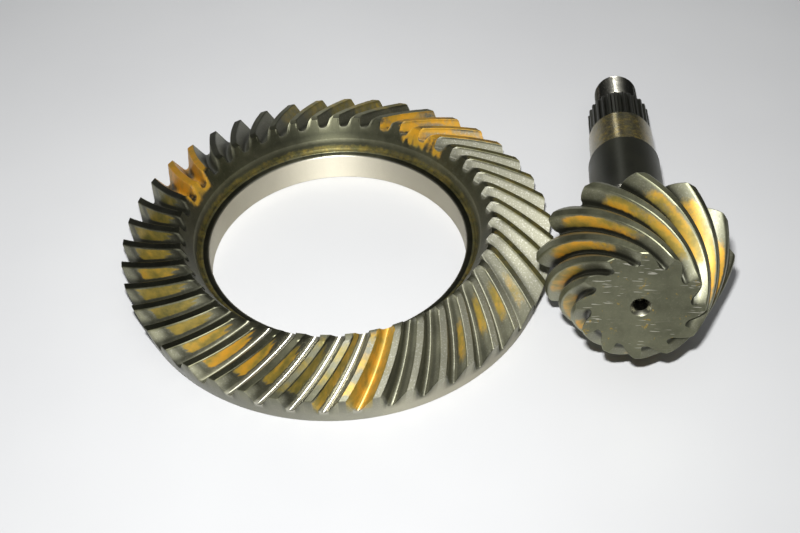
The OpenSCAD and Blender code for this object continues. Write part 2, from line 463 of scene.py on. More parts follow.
def add_contact_patches(film, teeth):
    """A patch on each flank that faces the way the angle rises, from the left round to the front."""
    share, station, tooth = teeth.share, teeth.station, teeth.tooth
    low_side = teeth.place == LOW_SIDE
    gap = gap_degrees(teeth)
    zone = low_side * between(gap, (146, 160), (262, 270))
    wobble = 0.03 * np.sin(tooth * 2.4) + 0.02 * np.sin(direction(teeth.angle) * 9.1 + share * 7)
    ragged = 0.05 * np.sin(share * 19 + tooth * 1.7)
    start = 0.2 + 0.05 * np.sin(tooth * 1.9)
    patch = smooth(start - 0.015, start + 0.03, station + wobble * 0.5)
    patch = patch * (1 - smooth(0.68, 0.86, station + ragged + 0.25 * (share - 0.4)))
    patch = patch * between(share, (0.08, 0.14), (0.66, 0.82))
    film.cover(zone * patch * 0.95)
    orange = np.clip(bump(gap, 232, 16) + 0.45 * bump(gap, 186, 12), 0, 1)
    ripple = 0.75 + 0.25 * np.sin(station * 12 + share * 9)
    film.colour(low_side, 0.22 + 0.75 * orange * ripple)
    # Painted dark reflection on each patched flank: at the toe end and just before the patch.
    film.darken(zone * smooth(0.7, 0.95, station) * 0.9)
    film.darken(zone * bump(station, start - 0.05, 0.06) * 0.8)


def add_painted_gap(film, teeth):
    """The gap that is painted right through, and the flank before it."""
    gold = painted_gap(teeth)
    near = (teeth.place == LOW_SIDE) * bump(gap_degrees(teeth), 263.6, 3.2, 4)
    film.cover(gold * smooth(-0.08, 0.02, teeth.station) * (teeth.place != LAND))
    film.cover(near * between(teeth.share, (0.05, 0.2), (0.7, 0.85)))
    film.colour((gold > 0.5) | (near > 0.5), 0.6)


def add_smears(film, teeth):
    """Yellow smears on the tooth tops beside the painted gap."""
    tops = (teeth.place == LAND) * between(gap_degrees(teeth), (246, 254), (276, 284))
    thick = 0.34 + 0.2 * np.sin(teeth.station * 17 + teeth.tooth * 3)
    film.cover(tops * thick * smooth(0.02, 0.12, teeth.station))


def add_full_teeth(film, teeth):
    """Two teeth painted all over, at the back left."""
    full = between(tooth_degrees(teeth), (131, 134), (147, 150))
    thick = 0.9 + 0.3 * np.sin(teeth.station * 8 + teeth.tooth)
    thick = thick + 0.4 * (teeth.place == LAND) - 0.4 * smooth(0.6, 0.9, teeth.share)
    film.cover(full * np.clip(thick, 0, 1))
    film.colour(full > 0.5, 0.92)


def add_messy_teeth(film, teeth):
    """Blotches of compound on the teeth at the back right."""
    messy = messy_teeth(teeth)
    ripple = np.sin(teeth.station * 6.5 + teeth.tooth * 2.1) * np.cos(teeth.share * 5 + teeth.tooth)
    film.cover(messy * (0.62 + 0.38 * ripple) * (1 - 0.5 * smooth(0.6, 0.95, teeth.share)))
    film.colour(messy > 0.3, 0.82)


def add_thin_film(film, teeth):
    """An olive film on the teeth at the back, and faint patches at the front right."""
    share, station, tooth = teeth.share, teeth.station, teeth.tooth
    high_side = teeth.place == HIGH_SIDE
    gap = gap_degrees(teeth)
    back = between(gap, (60, 66), (96, 104)) * ((teeth.place == LAND) | high_side)
    film.cover(back * 0.5 * (1 - smooth(0.4, 0.8, station)))
    faint = high_side * between(gap, (288, 298), (318, 328))
    spot = bump(station, 0.45 + 0.08 * np.sin(tooth * 2), 0.26, 4) * between(share, (0.02, 0.1), (0.6, 0.75))
    film.cover(faint * spot * 0.7)
    film.colour(faint > 0.3, 0.5)
    film.darken(high_side * between(gap, (282, 300), (334, 350)) * 0.4 * (1 - spot))


def add_painted_shade_in_gaps(film, teeth):
    """Painted shade deep in the gaps, darkest at the left, and lifted off the floor of each gap at the front,
    where a painted highlight lies.
    """
    share = teeth.share
    deg = direction(teeth.angle)
    unpainted = 1 - painted_gap(teeth)
    front = between(deg, (218, 241), (312, 330))
    left = between(deg, (140, 160), (218, 236))
    film.darken(smooth(0.45, 0.85, share) * (0.75 + 0.22 * left) * unpainted * (1 - front))
    sides = (0.3 + 0.45 * smooth(0.3, 0.6, share)) * between(share, (0.05, 0.12), (0.8, 0.9))
    film.darken(sides * unpainted * front)
    # Taking the dark off the floor of each gap at the front leaves a painted highlight there.
    film.lift_dark(0.9 * front * smooth(0.84, 0.93, share))
    film.darken(0.5 * smooth(0.8, 0.9, share) * smooth(274, 284, deg) * unpainted)


def add_painted_tooth_shade(film, teeth):
    """Painted shade on the tooth tops at the back, the left and the front, on the toe ends at the right and
    on the back teeth, and the tops at the right darker under an olive film.
    """
    deg = direction(teeth.angle)
    land = teeth.place == LAND
    film.darken(land * 0.65 * between(deg, (70, 110), (215, 240)))
    film.darken(land * 0.7 * bump(deg, 269, 11, 4))
    right = 1 - smooth(28, 50, apart(deg, 8))
    film.darken(land * right * 0.42)
    film.darken((right > 0.1) * smooth(0.82, 1.0, teeth.station) * 0.6)
    film.cover(land * right * 0.5)
    film.colour(land & (right > 0.3) & (messy_teeth(teeth) < 0.3), 0.12)
    back = between(deg, (56, 70), (118, 132))
    film.darken(((teeth.place == HIGH_SIDE) | land) * back * 0.42)


def ring_film(teeth):
    """Marking compound, dark oil and painted shade on the ring's teeth. A later layer recolours the ones
    before it.
    """
    film = Film(teeth.share.shape)
    add_contact_patches(film, teeth)
    add_painted_gap(film, teeth)
    add_smears(film, teeth)
    add_full_teeth(film, teeth)
    add_messy_teeth(film, teeth)
    add_thin_film(film, teeth)
    add_painted_shade_in_gaps(film, teeth)
    add_painted_tooth_shade(film, teeth)
    return film.values()


def ring_finish_and_light(teeth):
    """How brightly milled and how polished each point of the ring's teeth is, with painted light on top of
    it.
    """
    deg = direction(teeth.angle)
    land = teeth.place == LAND
    right = 1 - smooth(26, 55, apart(deg, 12))
    # Painted light: the flanks at the right are brighter, the tops at the front right lighter, and the floor
    # of each gap at the front carries a painted highlight.
    flanks = smooth(0.02, 0.1, teeth.share) * (teeth.place != LAND) * (0.3 + 0.7 * right)
    painted_lit_tops = land * between(deg, (262, 276), (322, 340))
    lit_floors = smooth(0.84, 0.93, teeth.share) * between(deg, (228, 245), (318, 335))
    lit_floors = lit_floors * (1 - 0.85 * smooth(268, 282, deg))
    rubbed_tops = land * between(deg, (246, 262), (308, 325))
    return {
        "cut": np.maximum(flanks, 0.55 * painted_lit_tops),
        "ground": np.maximum(0.75 * lit_floors, 0.14 * rubbed_tops),
    }


# ---------------------------------------------------------------- ring gear

# Turned outline of the outside below the teeth: (radius, height).
OUTER_CONE = ((101.36, 6.0), HEEL_FOOT, (99.95, 0.35), (99.2, 0.0))
# Height of the lowest row of points that still lies on the inner cone.
CONE_LOW_Z = 23.2


def step_profile():
    """Turned outline from the inner cone's foot to the back face: (radius, height, ground, soot)."""
    cone = [(69.62, 20.95, 0, 0.55), (69.36, 20.5, 0.1, 0.2), (68.7, 18.4, 0, 0.6), (68.1, 16.6, 0, 0.75)]
    groove = [(67.72, 15.75, 0, 0.75), (67.1, 15.26, 0, 0.9), (66.6, 15.05, 0, 0.9), (66.35, 15.22, 0, 0.35)]
    step = [(65.5, 15.16, 0, 0.3), (65.25, 14.96, 0, 0.85), (64.3, 14.9, 0, 0.8), (63.35, 14.82, 0.1, 0.7)]
    bore = [(RING_BORE_R + 0.48, 14.66, 0.6, 0.2)]
    bore += [(RING_BORE_R, z, 1, 0) for z in (14.2, 10.0, 5.0, 0.45)]
    bore += [(RING_BORE_R + 0.45, 0.0, 1, 0)]
    return cone + groove + step + bore


def cone_radius(z):
    """Radius of the inner cone at a height."""
    share = (z - CONE_FOOT[1]) / (TOE_CORNER[1] - CONE_FOOT[1])
    return CONE_FOOT[0] + share * (TOE_CORNER[0] - CONE_FOOT[0])


def ring_outside(skin, teeth, edge):
    """The outer cone below the teeth, with painted shade at the left and painted light at the front right.
    Returns its last row.
    """
    turn = teeth.angle[:, 0]
    deg = direction(turn)
    # Painted shade at the left, and painted light at the front right.
    painted_shade = mix(0.58, 0.0, smooth(225, 292, deg))
    painted_light = smooth(262, 305, deg)
    finish_and_painted_light = {"ground": 0.5 - 0.3 * painted_light, "soot": painted_shade, "hone": 0.9 * painted_light}
    rows = [edge]
    for r, z in OUTER_CONE:
        rows.append(skin.add(polar(r, turn, z), along=z, **finish_and_painted_light))
    skin.grid(np.stack(rows, 1)[:, ::-1])
    return rows[-1]


def ring_cone(skin, teeth):
    """Two rows of points on the inner cone, with the compound that ran down from the painted teeth, and
    painted shade.
    """
    turn = teeth.angle[:, -1]
    deg = direction(turn)
    full = between(deg, (146, 149), (160, 164))
    messy = between(deg, (37, 42), (57, 61))
    drips = np.clip(0.55 + 0.6 * np.sin(deg * 1.3) * np.cos(deg * 0.77 + 1), 0, 1)
    right = 1 - smooth(35, 65, apart(deg, 10))
    # Painted shade on the inner cone: darker at the back, lighter at the right.
    shade = 0.48 - 0.22 * right + 0.42 * between(deg, (58, 82), (100, 130))
    at_corner = teeth.radius[:, -1] > TOE_CORNER[0] - 0.02
    high_z = np.where(at_corner, TOE_CORNER[1], mix(teeth.level[:, -1], 23.6, 0.5))
    high = polar(cone_radius(high_z), turn, high_z)
    high_paint = np.clip(full * 0.95 + messy * (0.5 + 0.5 * drips), 0, 1)
    low = polar(cone_radius(CONE_LOW_Z), turn, CONE_LOW_Z)
    low_paint = messy * drips * 0.9 + full * 0.25
    return [
        skin.add(high, paint=high_paint, tint=0.85, soot=shade, along=high_z),
        skin.add(low, paint=low_paint, tint=0.8, soot=shade + 0.12, along=CONE_LOW_Z),
    ]


def ring_inside(skin, teeth, edge):
    """The inner cone, the groove and step at its foot, and the ground bore. Returns its last row."""
    turn = teeth.angle[:, -1]
    deg = direction(turn)
    right = 1 - smooth(35, 65, apart(deg, 10))
    back = between(deg, (58, 80), (100, 130))
    rows = [edge, *ring_cone(skin, teeth)]
    for r, z, ground, oil in step_profile():
        olive = 0.42 if 65.4 < r < 68.2 else 0.0
        hone = 1.0 if z < 14.3 else 0.0
        # Above the step the rows get painted shade, darker at the back and lighter at the right.
        painted_shade_swing = 0.35 if r > 66.9 else 0.0
        soot = np.clip(oil + painted_shade_swing * (back - right), 0, 0.95)
        at = polar(r, turn, z)
        rows.append(skin.add(at, ground=ground, soot=soot, paint=olive, tint=0.2, hone=hone, along=r + z))
    skin.grid(np.stack(rows, 1))
    return rows[-1]


def bolt_hole(skin, angle):
    """A blind tapped hole in the back face, with its thread as ridges. Returns its mouth."""
    turn = np.linspace(0, FULL_TURN, 28, endpoint=False)
    at = np.array([math.cos(angle), math.sin(angle), 0]) * BOLT_CIRCLE_R * MM
    root = BOLT_HOLE_R + 0.35
    rings = [(6.3, 0.0), (root, 0.55)]
    for z in 0.9 + 1.25 * np.arange(9):
        rings += [(BOLT_HOLE_R, z), (root, z + 0.6)]
    rings += [(BOLT_HOLE_R, 12.6), (BOLT_HOLE_R, BOLT_DEPTH), (2.5, 15.9)]
    rows = [skin.add(polar(r, turn, z) + at, ground=0.6, soot=0.5, along=z) for r, z in rings]
    skin.grid(np.stack(rows, 1))
    skin.close(rows[-1], polar(0.0, 0.0, 17.2) + at, soot=0.6)
    return rows[0]


def make_ring():
    """The ring gear: teeth, outside, inside, and the back face with its tapped holes."""
    skin = Skin()
    teeth = all_round(ring_rungs(), ring_rung, RING_STATIONS, RING_TEETH, RING_PHASE)
    at = polar(teeth.radius, teeth.angle, teeth.level)
    ids = skin.add(at, along=teeth.radius, **ring_film(teeth), **ring_finish_and_light(teeth))
    skin.grid(ids)
    outer = ring_outside(skin, teeth, ids[:, 0])
    inner = ring_inside(skin, teeth, ids[:, -1])
    holes = [bolt_hole(skin, (i + 0.5) * FULL_TURN / BOLT_COUNT) for i in range(BOLT_COUNT)]
    skin.flat(outer, [inner, *holes])
    return skin.build("ring_gear_looks", 24)


# ---------------------------------------------------------------- shape of the pinion's teeth

PINION_SLOPE = math.atan2(PINION_HEEL_R - PINION_TOE_R, PINION_FACE)
# Size of the rounded edges, and the share of the depth at which the flank runs into the rounded floor.
PINION_EDGE = 0.25
PINION_FILLET_FROM = 0.76
# Shares of the way from the front face to the heel.
PINION_STATIONS = np.array([0, 0.008, 0.03, *np.linspace(0.055, 0.97, 56), 0.992, 1.0])


def pinion_lag(r):
    """Angle in radians that a tooth has turned between radius r and the heel."""
    return math.tan(PINION_SPIRAL) / math.sin(PINION_SLOPE) * np.log(PINION_HEEL_R / r)


def pinion_width(g, t):
    """Half width across a pinion gap at a share g of its depth, at station t."""
    r = mix(PINION_TOE_R, PINION_HEEL_R, t)
    pitch = FULL_TURN * r / PINION_TEETH * math.cos(PINION_SPIRAL)
    top = (pitch - PINION_LAND) / 2
    low = PINION_FLOOR / 2
    return low + (top - low) * np.clip(1 - g / 0.9, 0, 1) ** 1.45


def pinion_rungs():
    """Every rung of one land and the gap after it, by rising angle.

    The high side has no rung at its rounded edge. So there are 27 rungs for each of the 12 teeth, which
    gives each of the 27 spline teeth 12 points, all alike.
    """
    rungs = [("land", v, 0) for v in np.linspace(PINION_EDGE, PINION_LAND - PINION_EDGE, 5)]
    down = [("flank", g) for g in (0.1, 0.2, 0.3, 0.42, 0.54, 0.66, PINION_FILLET_FROM)]
    down += [("fillet", s) for s in (0.25, 0.5, 0.75)]
    rungs += [("depth", PINION_EDGE, LOW_SIDE)]
    rungs += [(kind, value, LOW_SIDE) for kind, value in down]
    rungs += [("fillet", 1.0, 0)]
    rungs += [(kind, value, HIGH_SIDE) for kind, value in reversed(down)]
    return rungs


def pinion_rung(kind, value, side, station):
    """Radius, distance from the front, angle, depth share and station of one rung of the pinion."""
    share, extra = nominal_depth(kind, value, PINION_FILLET_FROM)
    sin, cos = math.sin(PINION_SLOPE), math.cos(PINION_SLOPE)
    toe_depth, heel_depth = PINION_DEPTH_TOE_HEEL

    def front(more):
        """Station at which the rung, sunk by some more, meets the front face."""
        sunk = share * toe_depth + extra + more
        return -sunk * sin / (PINION_FACE + share * (heel_depth - toe_depth) * sin)

    t = mix(front(0.0), 1.0, station)
    t[0] = front(PINION_EDGE)
    full_depth = mix(toe_depth, heel_depth, t)
    depth = share * full_depth + extra
    depth[0] += PINION_EDGE
    depth[-1] += 0.3
    tip_r = mix(PINION_TOE_R, PINION_HEEL_R, t)
    r = tip_r - depth * cos
    s = PINION_FACE * t + depth * sin
    across = 1 / math.cos(PINION_SPIRAL) / tip_r
    drawn_in = 0.2 * ((station == 0) | (station == 1)) + 0.35 * (1 - smooth(0.0, 0.05, station)) ** 2
    if kind == "land":
        angle = (value - PINION_LAND / 2) * across * (1 - 0.5 * drawn_in)
        return r, s, angle - pinion_lag(tip_r), depth / full_depth, t
    if kind == "fillet":
        corner = pinion_width(PINION_FILLET_FROM, t)
        w = fillet_point(value, PINION_FILLET_FROM, corner, PINION_FLOOR / 2 * 0.96, 0.0)[1]
    else:
        w = pinion_width(extra / full_depth + share, t)
    w = w + drawn_in * smooth(0, 1.5, w)
    angle = math.pi / PINION_TEETH + side * w * across
    return r, s, angle - pinion_lag(tip_r), depth / full_depth, t


def pinion_film(teeth):
    """Marking compound along the flanks that face the front, and painted shade deep in the gaps, on the rear
    flanks and on the right.
    """
    share, station = teeth.share, teeth.station
    seed = teeth.tooth * 1.37
    front = teeth.place == LOW_SIDE
    rear = teeth.place == HIGH_SIDE
    start = 0.16 + 0.06 * np.sin(seed * 2)
    end = 0.84 + 0.05 * np.sin(seed * 3)
    band = between(station, (start - 0.05, start + 0.12), (end - 0.1, end + 0.05))
    band = band * between(share, (0.03, 0.16), (0.62, 0.86))
    film = Film(share.shape)
    film.cover(front * band * (0.8 + 0.22 * np.sin(station * 11 + seed)))
    film.cover(rear * band * 0.35)
    tint = 0.6 + 0.34 * np.sin(station * 9 + seed * 2) * np.cos(share * 4) + 0.1 * np.sin(seed)
    film.tint = np.clip(tint, 0.1, 1)
    # Painted shade deep in the gaps and on the rear flanks.
    film.darken(smooth(0.44, 0.76, share) * 0.97)
    film.darken(rear * smooth(0.1, 0.4, share) * 0.6)
    film.darken(front * (1 - smooth(0.05, 0.2, station)) * 0.35)
    # Painted shade on the front flanks at the right.
    painted_shade_side = np.cos(teeth.angle - math.radians(12))
    film.darken(front * 0.5 * smooth(0.1, 0.85, painted_shade_side) * smooth(0.2, 0.45, station))
    return film.values()


# ---------------------------------------------------------------- pinion

PINION_TILT = math.atan2(PINION_HEEL_R - THREAD_R, PINION_LENGTH - TIP_CHAMFER - PINION_FACE)
PINION_Z = PINION_HEEL_R * math.cos(PINION_TILT) + PINION_FACE * math.sin(PINION_TILT) + REST_GAP

# Rows of points over the spline and the chamfer at its end, and where the thread's rows begin and end.
SPLINE_ROWS = (148.3, 148.7, 149.3, 149.9, 152.0, 158.0, 164.0, 170.5, 171.3, 171.8, 172.2, SPLINE_END)
THREAD_FROM = 172.75
THREAD_TO = 199.0


def relief(seat_r, shoulder, ground, soot):
    """The floor of the grinding relief between a shoulder and the bearing seat after it."""
    floor = seat_r - RELIEF_DEPTH
    return [(floor, shoulder + 0.2, ground, soot), (floor, shoulder + RELIEF_WIDTH - 0.6, ground, soot)]


def shaft_profile():
    """Turned outline behind the teeth: (radius, distance from the front face, ground, soot)."""
    back = PINION_FACE + (PINION_HEEL_R - COLLAR_R) * math.tan(PINION_SLOPE)
    collar = [(30.0, back - 2.15, 0.1, 0.4), (COLLAR_R + 0.6, back - 0.3, 0.3, 0.4)]
    collar += [(COLLAR_R, s, 0.6, 0.3) for s in (back + 0.25, HEAD_SHOULDER - 0.4)]
    collar += [(r, HEAD_SHOULDER, 0.8, 0.2) for r in (COLLAR_R - 0.4, HEAD_SEAT_R + 0.4)]
    head = relief(HEAD_SEAT_R, HEAD_SHOULDER, 0.6, 0.5)
    head += [(HEAD_SEAT_R, s, 1, 0) for s in (HEAD_SHOULDER + RELIEF_WIDTH, 60.0, HEAD_SEAT_END - 1.4)]
    head += [(19.55, HEAD_SEAT_END - 0.5, 0.6, 0.3), (18.9, HEAD_SEAT_END + 0.2, 0.2, 0.6)]
    middle = [(MIDDLE_R + 0.4, 73.6, 0, 0.8)]
    middle += [(MIDDLE_R, s, 0, 0.9) for s in (76.0, 90.0, 105.0, MIDDLE_END - 0.8)]
    middle += [(MIDDLE_R - 0.3, MIDDLE_END - 0.25, 0.2, 0.8), (TAIL_SEAT_R + 0.2, MIDDLE_END, 0.4, 0.5)]
    tail = relief(TAIL_SEAT_R, MIDDLE_END, 0.8, 0.4)
    tail += [(TAIL_SEAT_R, MIDDLE_END + RELIEF_WIDTH, 1, 0.78), (TAIL_SEAT_R, 135.0, 1, 0.74)]
    tail += [(TAIL_SEAT_R, TAIL_SEAT_END - 0.4, 1, 0.78), (TAIL_SEAT_R - 0.25, TAIL_SEAT_END, 0.8, 0.4)]
    return collar + head + middle + tail


def spline_radius(turn, s):
    """Radius of the splined part at an angle and a distance from the front face."""
    share = (turn * SPLINE_TEETH / FULL_TURN) % 1.0
    tooth = between(share, (0.1, 0.24), (0.56, 0.7))
    ridge = mix(1.0, tooth, smooth(148.3, 149.9, s))
    chamfer = smooth(SPLINE_END - 1.2, SPLINE_END, s)
    return SPLINE_R - SPLINE_DEPTH + SPLINE_DEPTH * ridge * (1 - chamfer)


def thread_radius(turn, s):
    """Radius of the threaded end: a neck behind the spline, then the ridges of the thread."""
    wave = np.abs(((s / THREAD_PITCH - turn / FULL_TURN) % 1.0) * 2 - 1)
    groove = 0.82 * np.clip(wave * 1.25 - 0.12, 0, 1)
    fade = smooth(175.0, 176.8, s) * (1 - 0.6 * smooth(198.4, 199.4, s))
    return THREAD_R - groove * fade - 0.6 * between(s, (172.6, 173.0), (174.4, 175.0))


def pinion_shaft(skin, turn, edge):
    """The whole shaft behind the teeth, down into the lathe centre in its end."""
    rows = [edge]
    for r, s, ground, oil in shaft_profile():
        on_tail_seat = MIDDLE_END + 2 < s < TAIL_SEAT_END - 0.3
        # Painted shade on the right side of the tail seat.
        soot = np.clip(oil + 0.25 * on_tail_seat * smooth(0, 25, 90 - np.degrees(turn)), 0, 1)
        brown = 0.46 * on_tail_seat
        rows.append(skin.add(polar(r, turn, -s), ground=ground, soot=soot, paint=brown, tint=0.3, along=s))
    for s in SPLINE_ROWS:
        rows.append(skin.add(polar(spline_radius(turn, s), turn, -s), ground=0.1, soot=1.0, along=s))
    rows.append(skin.add(polar(11.6, turn, -SPLINE_END - 0.05), ground=0.5, soot=0.5, along=SPLINE_END))
    # Painted shade all round the thread except a narrow strip near the top, left bright as a painted
    # highlight.
    soot = 0.88 - 0.84 * bump(direction(turn), 102, 19)
    for s in np.arange(THREAD_FROM, THREAD_TO, THREAD_PITCH / 6):
        rows.append(skin.add(polar(thread_radius(turn, s), turn, -s), ground=1.0, soot=soot, along=s))
    rows.append(skin.add(polar(THREAD_R - 0.4, turn, -199.2), ground=0.9, along=199.2))
    end = PINION_LENGTH
    # Painted shade inside the lathe centre in the end.
    for r, s in ((9.5, end - 0.2), (9.3, end), (4.5, end), (CENTRE_R, end - 2.1), (CENTRE_R, end - 9.0)):
        rows.append(skin.add(polar(r, turn, -s), ground=0.8, soot=0.4 * (r < 4), along=r))
    skin.grid(np.stack(rows, 1))
    skin.close(rows[-1], polar(0.0, 0.0, 9.0 - end), soot=0.7)


def front_hole(skin):
    """The lathe centre hole in the front face. Returns its mouth."""
    turn = np.linspace(0, FULL_TURN, 48, endpoint=False)
    rings = [(4.75, 0.0), (4.4, 0.3), (CENTRE_R, 2.2), (CENTRE_R, 7.6), (2.9, 8.6)]
    rows = []
    for r, s in rings:
        # Painted shade grows darker deeper in the hole.
        finish_and_painted_light = {"ground": 0.6 * (s > 0), "soot": min(1, s * 0.3), "scuff": float(s == 0)}
        rows.append(skin.add(polar(r, turn, -s), along=r, **finish_and_painted_light))
    skin.grid(np.stack(rows, 1))
    skin.close(rows[-1], polar(0.0, 0.0, -9.0), ground=1, soot=0.2)
    return rows[0]


def make_pinion():
    """The pinion: teeth, shaft and front face, made along its own axis and then laid down."""
    skin = Skin()
    teeth = all_round(pinion_rungs(), pinion_rung, PINION_STATIONS, PINION_TEETH, PINION_PHASE)
    cut = 0.25 * smooth(0.02, 0.1, teeth.share) * (teeth.place != LAND)
    at = polar(teeth.radius, teeth.angle, -teeth.level)
    ids = skin.add(at, cut=cut, along=teeth.level, **pinion_film(teeth))
    skin.grid(ids)
    pinion_shaft(skin, teeth.angle[:, -1], ids[:, -1])
    mouth = front_hole(skin)
    rim = skin.add(polar(teeth.radius[:, 0] * 0.996, teeth.angle[:, 0], 0.0), scuff=1.0)
    skin.grid(np.stack([rim, ids[:, 0]], 1))
    skin.flat(rim, [mouth])
    obj = skin.build("pinion_looks", 26)
    place = Matrix.Translation(Vector((*PINION_AT, PINION_Z)) * MM)
    place = place @ Matrix.Rotation(PINION_TURN, 4, "Z")
    place = place @ Matrix.Rotation(math.pi / 2 - PINION_TILT, 4, "X")
    obj.data.transform(place)
    return obj


# ---------------------------------------------------------------- materials

# Colours of the steel of each gear: plain, bright where it was milled and where light is painted, and dark in
# its cloudy patches.
RING_STEEL = {"steel": (0.27, 0.265, 0.165), "bright": (0.47, 0.46, 0.35), "dark": (0.13, 0.13, 0.077)}
PINION_STEEL = {"steel": (0.28, 0.28, 0.18), "bright": (0.44, 0.43, 0.32), "dark": (0.15, 0.152, 0.095)}
# Ground steel also makes a painted highlight on the ring's gap floor at the front, honed steel painted light
# on the ring's outside at the front right, the speck colour is a painted highlight, and the dark oil colour
# is also painted shade.
GROUND_STEEL = (0.44, 0.425, 0.36)
HONED_AND_LIT_STEEL = (0.6, 0.565, 0.46)
PAINTED_GLINT = (0.85, 0.84, 0.76)
DARK_OIL_AND_SHADE = (0.016, 0.017, 0.011)
OLIVE_COMPOUND = (0.12, 0.105, 0.017)
YELLOW_COMPOUND = (0.38, 0.26, 0.032)
ORANGE_COMPOUND = (0.72, 0.35, 0.015)
RUBBED_STEEL = (0.07, 0.072, 0.05)
SCRATCHED_STEEL = (0.62, 0.6, 0.5)
DRIED_DAB = (0.45, 0.3, 0.05)
WHITE_TABLE = ((0.6, 0.604, 0.61), (0.625, 0.63, 0.633))


class Nodes:
    """Small helper to build a material's node tree."""

    def __init__(self, name):
        self.material = bpy.data.materials.new(name)
        self.material.use_nodes = True
        self.tree = self.material.node_tree
        self.bsdf = self.tree.nodes["Principled BSDF"]

    def add(self, kind, **inputs):
        node = self.tree.nodes.new(kind)
        for key, value in inputs.items():
            node.inputs[key].default_value = value
        return node

    def link(self, a, b):
        self.tree.links.new(a, b)

    def read(self, name):
        node = self.tree.nodes.new("ShaderNodeAttribute")
        node.attribute_name = name
        return node.outputs["Fac"]

    def math(self, kind, a, b, clamp=False):
        node = self.tree.nodes.new("ShaderNodeMath")
        node.operation = kind
        node.use_clamp = clamp
        for i, v in enumerate((a, b)):
            if isinstance(v, (int, float)):
                node.inputs[i].default_value = v
            else:
                self.link(v, node.inputs[i])
        return node.outputs[0]

    def mix(self, factor, a, b):
        """The colour a where the factor is 0 and b where it is 1."""
        node = self.tree.nodes.new("ShaderNodeMix")
        node.data_type = "RGBA"
        self.link(factor, node.inputs[0])
        for index, v in ((6, a), (7, b)):
            if isinstance(v, tuple):
                node.inputs[index].default_value = (*v, 1)
            else:
                self.link(v, node.inputs[index])
        return node.outputs[2]

    def over(self, base, colour, mask, strength):
        """The base with a colour laid over it, as strongly as the mask and a number say."""
        return self.mix(self.math("MULTIPLY", mask, strength), base, colour)

    def noise(self, scale, detail=4.0, rough=0.6, vector=None):
        node = self.add("ShaderNodeTexNoise", Scale=scale, Detail=detail, Roughness=rough)
        if vector is None:
            vector = self.position()
        self.link(vector, node.inputs["Vector"])
        return node.outputs["Fac"]

    def position(self):
        return self.tree.nodes.new("ShaderNodeTexCoord").outputs["Object"]

    def range(self, value, lo, hi, out_lo=0.0, out_hi=1.0):
        limits = {"From Min": lo, "From Max": hi, "To Min": out_lo, "To Max": out_hi}
        node = self.add("ShaderNodeMapRange", **limits)
        self.link(value, node.inputs["Value"])
        return node.outputs["Result"]

    def scratches(self):
        """Thin straight scratches in three directions, broken into short pieces."""
        total = 0.0
        for turn, stretch, low in ((0.16, 30.0, 0.7), (-0.75, 26.0, 0.7), (1.2, 24.0, 0.71)):
            lay = self.add("ShaderNodeMapping", Rotation=(0, turn, 0), Scale=(3.0, 3.0, stretch))
            self.link(self.position(), lay.inputs["Vector"])
            fine = self.noise(42.0, 1.0, 0.4, lay.outputs["Vector"])
            total = self.math("MAXIMUM", total, self.range(fine, low, low + 0.03))
        pieces = self.range(self.noise(62.0, 1.0, 0.4), 0.52, 0.6, 0.06, 1.0)
        return self.math("MULTIPLY", total, pieces)

    def lines(self, along, per_mm):
        """Fine turned or ground lines across the direction of the value along, in millimetres."""
        node = self.add("ShaderNodeTexNoise", Scale=per_mm, Detail=3.0)
        node.noise_dimensions = "1D"
        self.link(along, node.inputs["W"])
        return node.outputs["Fac"]


def bare_steel(n, marks, cloud, grain, colours):
    """Colour of the steel: cloudy and grained, brighter where it was worked and where light is painted, with
    painted glints on the milled faces, and dark under oil and painted shade.
    """
    base = n.mix(n.range(cloud, 0.35, 0.68), colours["dark"], colours["steel"])
    base = n.over(base, colours["bright"], marks["cut"], 0.85)
    base = n.mix(n.range(grain, 0.55, 0.8, 0.0, 0.35), base, colours["bright"])
    base = n.over(base, GROUND_STEEL, marks["ground"], 0.9)
    base = n.over(base, HONED_AND_LIT_STEEL, marks["hone"], 0.85)
    # Painted glints: bright specks on the milled faces.
    painted_glint = n.math("MULTIPLY", n.range(n.noise(1300.0, 1.0, 0.5), 0.58, 0.66), marks["cut"])
    base = n.over(base, PAINTED_GLINT, painted_glint, 0.5)
    return n.over(base, DARK_OIL_AND_SHADE, marks["soot"], 0.88)


def compound_cover(n, marks):
    """How fully the marking compound covers the steel: patchy, and thin at its edges."""
    patches = n.range(n.noise(420.0, 4.0, 0.7), 0.3, 0.7, -0.22, 0.16)
    return n.range(n.math("ADD", marks["paint"], patches), 0.16, 0.62)


def compound_colour(n, marks):
    """Colour of the compound: olive, then yellow and orange as the tint rises, with streaks."""
    streak = n.range(n.noise(170.0, 3.0, 0.6), 0.3, 0.7, -0.22, 0.22)
    shade = n.math("ADD", marks["tint"], streak, clamp=True)
    thin = n.mix(n.range(shade, 0.1, 0.6), OLIVE_COMPOUND, YELLOW_COMPOUND)
    return n.mix(n.range(shade, 0.5, 1.0), thin, ORANGE_COMPOUND)


def scuffed(n, marks, base):
    """The base with a rubbed surface, scratches and a few dabs of dried compound, where it is scuffed."""
    scuff = marks["scuff"]
    base = n.over(base, RUBBED_STEEL, scuff, 0.36)
    base = n.over(base, SCRATCHED_STEEL, n.math("MULTIPLY", n.scratches(), scuff), 0.75)
    dab = n.math("MULTIPLY", n.range(n.noise(190.0, 4.0, 0.75), 0.61, 0.66), scuff)
    return n.over(base, DRIED_DAB, dab, 0.7)


